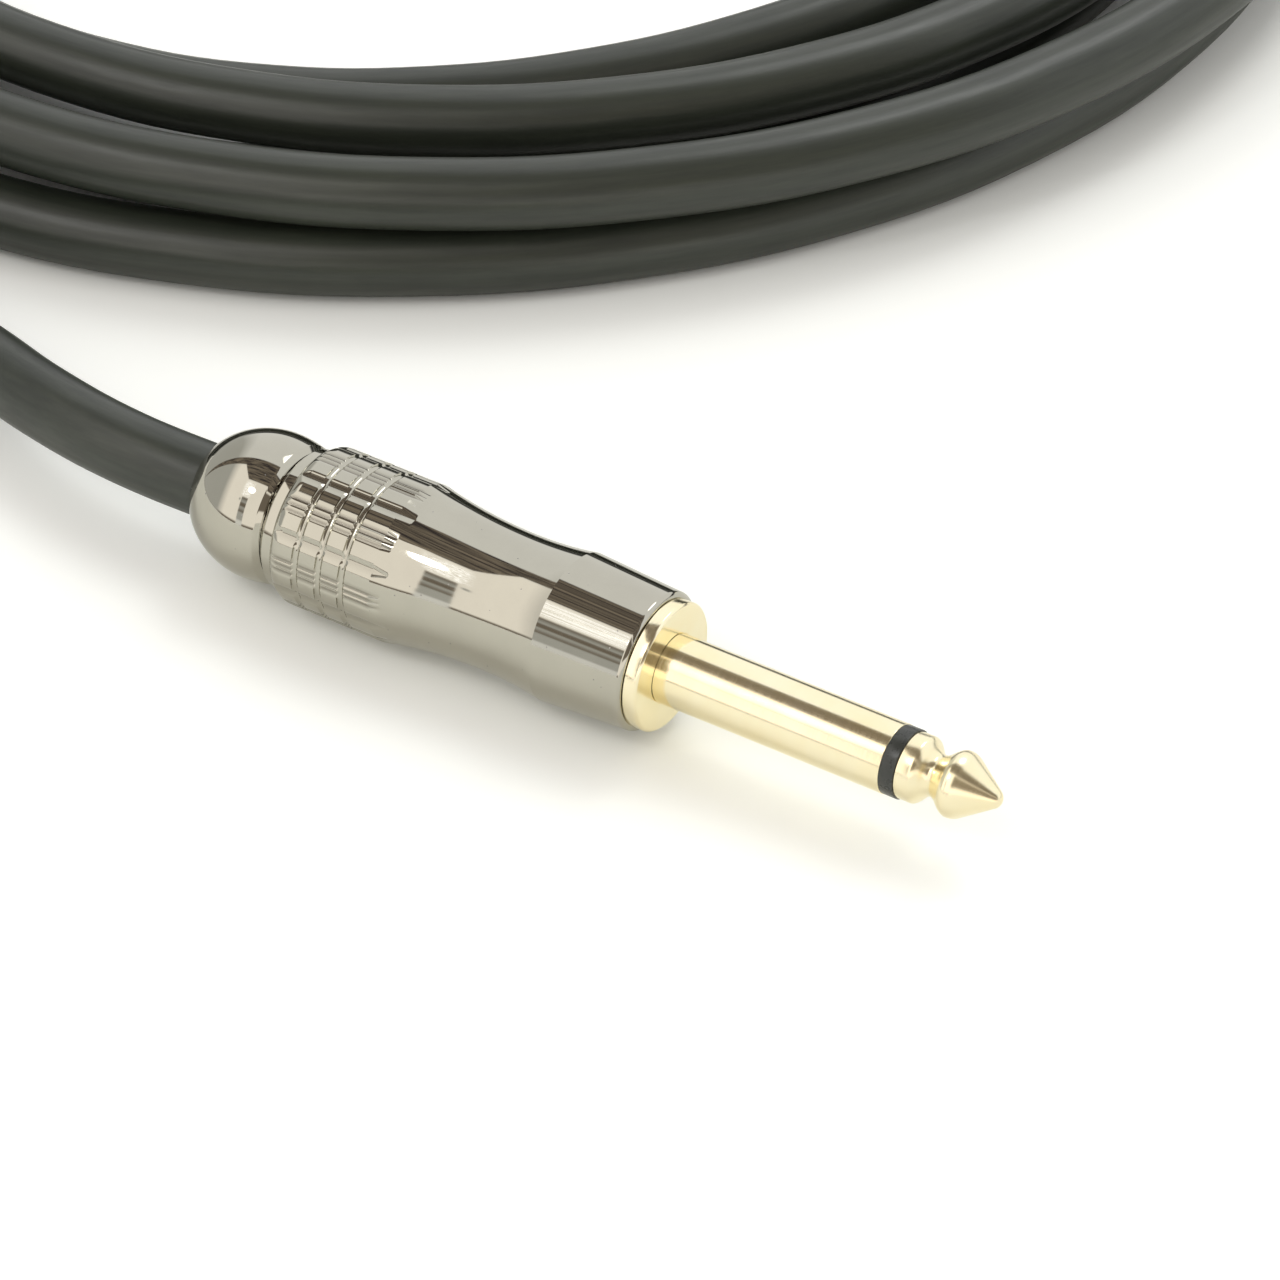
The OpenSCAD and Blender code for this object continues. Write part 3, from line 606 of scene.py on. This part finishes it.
nickel = black_nickel()
front_slope = list(level_arc(WAIST, RIDGE, 16))[1:-1]
rear_slope = list(level_arc(WAIST, GRIP, 96))[:-1]
shell_outline = [
    (RIM[0], SHELL_THREAD_R, 0), (RIM[0], RIM[1] - RIM_CHAMFER, RIM_ROUND),
    (RIM[0] - RIM_CHAMFER, RIM[1], RIM_ROUND), (*RIDGE, 0), *reversed(front_slope), *rear_slope,
    (*GRIP, 0), *[point for middle in RING_GROOVES for point in ring_groove(middle)],
    (*GRIP_END, 0), *list(level_arc(GRIP_END, BAND, 8))[1:-1], (*BAND, 0),
    (SHELL_REAR + SEAM_DEPTH, BAND[1], 0.06), (SHELL_REAR, BAND[1] - SEAM_DEPTH, 0),
    (SHELL_REAR, CAP_THREAD_BORE, 0), (COLLAR_REAR[0], CAP_THREAD_BORE, 0), (*COLLAR_REAR, 0),
    (*COLLAR_FRONT, 0), (COLLAR_FRONT[0], SHELL_BORE, 0), (BODY_REAR, SHELL_BORE, 0),
    (BODY_REAR, SHELL_THREAD_R, 0),
]
shell = turned(shell_outline)
cut_flutes(shell)
on_each_plug(shell, "shell", "shell_{}", nickel)

# ---- Caps ----
# Each cap is turned from brass bar and plated like the shell. Its threaded spigot screws into the shell and
# presses the collet onto the cord, which leaves through the mouth in the middle of the dome.
CAP_FRONT = -38.6
SPIGOT_FRONT = -33.6
SPIGOT_R = 5.3
POCKET_R = 4.5
POCKET_REAR = -38.2
DOME = (-41.45, 6.75)
DOME_LEN = 7.5
DOME_STEPS = 32
MOUTH_R = 3.7
MOUTH_EDGE = 0.4


def dome():
    """Outline points of the dome behind its widest place: part of an ellipse, up to the mouth's edge."""
    end = math.acos((MOUTH_R + MOUTH_EDGE) / DOME[1])
    for i in range(1, DOME_STEPS + 1):
        angle = end * i / DOME_STEPS
        yield DOME[0] - DOME_LEN * math.sin(angle), DOME[1] * math.cos(angle)


dome_outline = list(dome())
cap_outline = [
    (SPIGOT_FRONT, POCKET_R, 0), (SPIGOT_FRONT, SPIGOT_R - THREAD_DEPTH, 0),
    *reversed(thread_ridges(CAP_FRONT, SPIGOT_FRONT, SPIGOT_R)), (CAP_FRONT, SPIGOT_R, 0),
    (CAP_FRONT, BAND[1] - SEAM_DEPTH, 0), (CAP_FRONT - SEAM_DEPTH, BAND[1], 0.06),
    *reversed(list(level_arc(DOME, (CAP_FRONT - SEAM_DEPTH, BAND[1]), 12))[:-1]),
    *dome_outline[:-1], (*dome_outline[-1], 0.12), (dome_outline[-1][0], MOUTH_R, 0.08),
    (POCKET_REAR, MOUTH_R, 0), (POCKET_REAR, POCKET_R, 0),
]
on_each_plug(turned(cap_outline), "cap", "cap_{}", nickel)

# ---- Floor ----
# A plain pale floor. The camera and the polished metal see it lighter than it is lit, so that it turns
# white, but not where the lead stands close over it, so that it keeps its shadows.
FLOOR_HALF = 3.0
CAMERA_LIFT = 0.36
GLOSSY_LIFT = 0.12
OPEN_REACH = 0.018


def pale_floor():
    """Plain pale paint with a glow for camera and glossy rays that fades close under the lead."""
    made, shader, node, link = new_material("floor")
    shader.inputs["Base Color"].default_value = (0.91, 0.93, 0.89, 1)
    shader.inputs["Roughness"].default_value = 0.6
    rays = node("LightPath").outputs
    gloss = node("Math", {0: rays["Is Glossy Ray"], 1: GLOSSY_LIFT}, operation="MULTIPLY").outputs[0]
    lift = node("Math", {0: rays["Is Camera Ray"], 1: CAMERA_LIFT, 2: gloss}, operation="MULTIPLY_ADD")
    openness = node("AmbientOcclusion", {"Distance": OPEN_REACH}, samples=8).outputs["AO"]
    glow = node("Math", {0: lift.outputs[0], 1: openness}, operation="MULTIPLY")
    link(glow.outputs[0], shader.inputs["Emission Strength"])
    shader.inputs["Emission Color"].default_value = (1, 1, 1, 1)
    return made


ground = bmesh.new()
bmesh.ops.create_grid(ground, x_segments=1, y_segments=1, size=FLOOR_HALF)
floor_mesh = bpy.data.meshes.new("floor")
ground.to_mesh(floor_mesh)
ground.free()
floor_mesh.materials.append(pale_floor())
floor = bpy.data.objects.new("floor", floor_mesh)
bpy.context.scene.collection.objects.link(floor)

# ---- Studio sky ----
# An even sky lights the lead: bright behind, cream in front and black low down at the back. The polished
# metal mirrors what stands in it: a dark cluttered gap overhead, shelves and a stand in front, two lamps.
# Leans are degrees from straight up, + towards the front, and spans lie along X at such a lean. A third
# number is how soft the edges are. A lamp is its direction, the cosine of its half width and its strength.
BRIGHT, CREAM, DIM = (1.06, 1.06, 1.06), (1.4, 1.33, 1.26), (0.62, 0.62, 0.6)
DARK, BLACK, WHITE = (0.25, 0.21, 0.17), (0.05, 0.05, 0.05), (2.4, 2.4, 2.5)
CLUTTER = [(0.4, (0.05, 0.042, 0.045)), (0.53, DARK), (0.68, (0.42, 0.35, 0.28))]
HORIZON = [(-180, BLACK), (-86, BLACK), (-83, BRIGHT), (-2, BRIGHT), (2, CREAM)]
OPEN_FRONT = [*HORIZON, (86, CREAM), (88, DARK)]
SHELVES = [
    *HORIZON, (48, CREAM), (50, DARK), (56, DIM), (58, DARK), (62, DARK), (64, DIM), (70, DARK),
    (72, DIM), (82, DIM), (84, BRIGHT),
]
STAND = [*HORIZON, (24, CREAM), (28, DARK), (64, DARK), (68, CREAM), (88, CREAM)]
SHELVES_SPAN = (-0.385, -0.25, 0.005)
STAND_SPAN = (0.28, 9, 0.04)
GLITTER_SPAN = (-0.42, -0.24, 0.03)
GLITTER_LEAN = (25, 47, 2)
RAIL_SPAN = (-0.445, -0.405, 0.01)
RAIL_LEAN = (52, 55, 1)
FAR_END_SPAN = (-1.15, -0.8)
GAP_REAR, GAP_FRONT, GAP_SOFT = -13.5, 22, 0.8
GAP_WIDENS = (-0.68, -0.42)
LAMPS = [((-0.24, -0.57, 0.79), 0.997, 12), ((0.04, 0.55, 0.84), 0.978, 5)]

world = bpy.data.worlds.new("studio")
bpy.context.scene.world = world
world.use_nodes = True
sky_node = node_adder(world.node_tree)


def sky_math(operation, *values):
    """Adds a node that works out a number for the sky."""
    return sky_node("Math", dict(enumerate(values)), operation=operation).outputs[0]


def crossing(value, span, before=0, after=1):
    """A number that runs from one value to another while the given one crosses a span."""
    ends = {"From Min": span[0], "From Max": span[1], "To Min": before, "To Max": after}
    return sky_node("MapRange", {"Value": value, **ends}).outputs[0]


def window(value, low, high, soft):
    """1 where a value lies between two others and 0 elsewhere, with soft edges."""
    start = crossing(value, (low - soft, low + soft))
    end = crossing(sky_math("SUBTRACT", value, high), (-soft, soft), 1, 0)
    return sky_math("MULTIPLY", start, end)


def laid_over(under, share, over):
    """A sky with a colour laid over a share of it."""
    over = over if isinstance(over, bpy.types.NodeSocket) else (*over, 1)
    return sky_node("Mix", {0: share, 6: under, 7: over}, data_type="RGBA").outputs[2]


heading = sky_node("TexCoord").outputs["Generated"]
direction = sky_node("SeparateXYZ", {0: heading})
towards_front = sky_math("MULTIPLY", direction.outputs["Y"], -1.0)
lean = sky_math("DEGREES", sky_math("ARCTAN2", towards_front, direction.outputs["Z"]))
turn_share = sky_math("MULTIPLY_ADD", lean, 1 / 360, 0.5)
upright = sky_node("CombineXYZ", {0: direction.outputs["Y"], 1: direction.outputs["Z"]}).outputs[0]
off_axis = sky_node("VectorMath", {0: upright}, operation="LENGTH").outputs["Value"]
along = sky_math("DIVIDE", direction.outputs["X"], off_axis)


def sky_band(stops):
    """The colours of the sky from the horizon behind, over the top, to the horizon in front."""
    return ramp_of(sky_node, turn_share, [((angle + 180) / 360, colour) for angle, colour in stops])


across_streaks = {0: sky_math("MULTIPLY", along, 2.5), 1: sky_math("MULTIPLY", lean, 0.35)}
drawn_out = sky_node("CombineXYZ", across_streaks).outputs[0]
streaks = sky_node("TexNoise", {"Vector": drawn_out, "Scale": 1, "Detail": 5, "Roughness": 0.65})
clutter = ramp_of(sky_node, streaks.outputs["Fac"], CLUTTER)
mottle = sky_node("TexNoise", {"Vector": heading, "Scale": 70, "Detail": 3, "Roughness": 0.7})
glints = crossing(mottle.outputs["Fac"], (0.48, 0.56))
glitter = sky_math("MULTIPLY", window(along, *GLITTER_SPAN), window(lean, *GLITTER_LEAN))
rail = sky_math("MULTIPLY", window(along, *RAIL_SPAN), window(lean, *RAIL_LEAN))
gap_front = crossing(along, GAP_WIDENS, 0, GAP_FRONT)
sky = sky_band(OPEN_FRONT)
sky = laid_over(sky, window(along, *SHELVES_SPAN), sky_band(SHELVES))
sky = laid_over(sky, window(along, *STAND_SPAN), sky_band(STAND))
sky = laid_over(sky, sky_math("MULTIPLY", glitter, glints), WHITE)
sky = laid_over(sky, rail, DIM)
sky = laid_over(sky, crossing(along, FAR_END_SPAN, 1, 0), DIM)
sky = laid_over(sky, window(lean, GAP_REAR, gap_front, GAP_SOFT), clutter)
for aim, edge, strength in LAMPS:
    aimed = {0: heading, 1: Vector(aim).normalized()}
    closeness = sky_node("VectorMath", aimed, operation="DOT_PRODUCT").outputs["Value"]
    sky = laid_over(sky, crossing(closeness, (edge, (edge + 1) / 2)), (strength,) * 3)
seen = sky_node("LightPath").outputs["Is Camera Ray"]
shown = laid_over(sky, seen, (1, 1, 1))
world.node_tree.links.new(shown, world.node_tree.nodes["Background"].inputs["Color"])
bpy.context.scene.view_settings.view_transform = "Standard"
